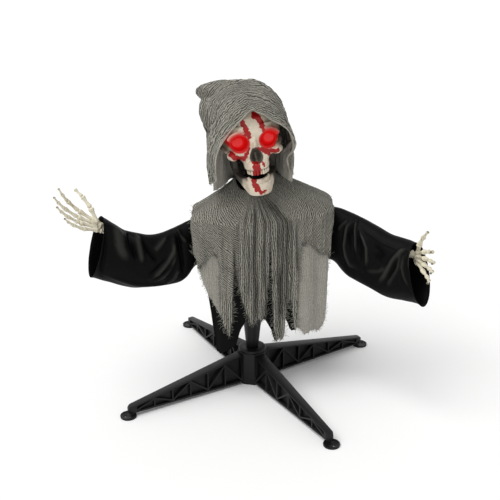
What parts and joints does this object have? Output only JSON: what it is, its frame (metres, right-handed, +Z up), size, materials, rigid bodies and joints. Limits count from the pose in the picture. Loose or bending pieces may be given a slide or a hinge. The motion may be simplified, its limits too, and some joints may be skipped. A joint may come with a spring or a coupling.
{
  "type": "animated ghost figure",
  "caption": "Hooded skeleton ghost figure that turns on a black cross stand, with glowing red eyes, a hinged jaw, ragged gauze over a satin robe and raised bone hands.",
  "frame": {"origin": "centre of the stand's hub on its underside, which is level with the floor", "axes": "+Z up; -Y towards the figure's front; +X towards the figure's own left hand, along the spread arms"},
  "size_m": [0.7404, 0.547, 0.6651],
  "materials": {
    "black_plastic": "moulded, fine satin texture",
    "black_steel": "black enamel",
    "white_plastic": "smooth, slippery moulding",
    "steel": "plain zinc-bright steel",
    "brass": "machined brass",
    "board_green": "solder mask",
    "cell_case": "printed metal jacket, left plain",
    "bone": "moulded bone with a pale brown wash and red paint splashes",
    "lamp_red": "clear red lens, lit from behind",
    "satin": "black satin with a soft sheen",
    "gauze": "grey open-weave gauze, creased and frayed",
    "gauze_light": "lighter grey open-weave gauze, frayed"
  },
  "bodies": {
    "base": {"hub": "black_plastic", "hub_collar": "black_plastic", "leg_front_left": "black_plastic", "leg_front_right": "black_plastic", "leg_rear_left": "black_plastic", "leg_rear_right": "black_plastic", "foot_tab_front_left": "black_plastic", "foot_tab_front_right": "black_plastic", "foot_tab_rear_left": "black_plastic", "foot_tab_rear_right": "black_plastic", "pole": "black_steel", "pedestal": "black_plastic", "turn_gear": "white_plastic"},
    "torso": {"torso_front_shell": "black_plastic", "torso_rear_shell": "black_plastic", "turn_bush": "white_plastic", "gear_motor": "steel", "speaker": "black_plastic", "circuit_board": "board_green", "battery_cell_1": "cell_case", "battery_cell_2": "cell_case", "battery_cell_3": "cell_case", "switch_body": "steel", "neck_post": "black_plastic", "shoulder_hanger": "black_steel", "shell_screw_1": "steel", "shell_screw_2": "steel", "shell_screw_3": "steel", "shell_screw_4": "steel", "shoulder_bush_right": "white_plastic", "shoulder_bush_left": "white_plastic", "robe_front": "satin", "robe_back": "satin", "cape_front": "gauze", "cape_back": "gauze", "lining_right": "gauze_light", "lining_left": "gauze_light"},
    "pinion": {"drive_pinion": "brass"},
    "battery_door": {"battery_door": "black_plastic"},
    "switch_knob": {"switch_knob": "black_plastic"},
    "head": {"skull_face": "bone", "skull_back": "bone", "eye_lamp_right": "lamp_red", "eye_lamp_left": "lamp_red", "head_bush": "white_plastic", "jaw_pin_right": "steel", "jaw_pin_left": "steel", "hood": "gauze"},
    "jaw": {"jaw": "bone"},
    "arm_right": {"arm_rod_right": "black_steel", "sleeve_right": "satin", "wrist_collar_right": "black_plastic"},
    "arm_left": {"arm_rod_left": "black_steel", "sleeve_left": "satin", "wrist_collar_left": "black_plastic"},
    "hand_right": {"hand_right": "bone"},
    "hand_left": {"hand_left": "bone"}
  },
  "joints": [
    {"name": "torso_turn", "type": "hinge", "parent": "base", "child": "torso", "pos_m": [0, 0, 0.204], "axis": [0, 0, 1], "range_deg": [-38.8, 11.2]},
    {"name": "pinion_spin", "type": "hinge", "parent": "torso", "child": "pinion", "pos_m": [0.0373, 0, 0.23], "axis": [0, 0, 1], "range_deg": [-120, 40]},
    {"name": "battery_door_slide", "type": "slide", "parent": "torso", "child": "battery_door", "axis": [0, 0, -1], "range_m": [0, 0.0555]},
    {"name": "switch_slide", "type": "slide", "parent": "torso", "child": "switch_knob", "axis": [1, 0, 0], "range_m": [0, 0.0084]},
    {"name": "head_turn", "type": "hinge", "parent": "torso", "child": "head", "pos_m": [0, 0, 0.47], "axis": [0, 0, 1], "range_deg": [-38, 22]},
    {"name": "jaw_hinge", "type": "hinge", "parent": "head", "child": "jaw", "pos_m": [-0.00189, -0.01556, 0.53316], "axis": [-0.9799, -0.1377, -0.1444], "range_deg": [0, 10]},
    {"name": "arm_swing_right", "type": "hinge", "parent": "torso", "child": "arm_right", "pos_m": [-0.06, 0, 0.378], "axis": [1, 0, 0], "range_deg": [-8, 8]},
    {"name": "arm_swing_left", "type": "hinge", "parent": "torso", "child": "arm_left", "pos_m": [0.06, 0, 0.378], "axis": [1, 0, 0], "range_deg": [-8, 8]},
    {"name": "wrist_turn_right", "type": "hinge", "parent": "arm_right", "child": "hand_right", "pos_m": [-0.2907, -0.07382, 0.3837], "axis": [-0.8108, -0.353, 0.467], "range_deg": [-45, 45]},
    {"name": "wrist_turn_left", "type": "hinge", "parent": "arm_left", "child": "hand_left", "pos_m": [0.31029, -0.107, 0.34732], "axis": [0.7451, -0.5556, -0.3689], "range_deg": [-45, 45]}
  ],
  "couplings": [
    {"joint": "pinion_spin", "follows": "torso_turn", "ratio": 3}
  ]
}
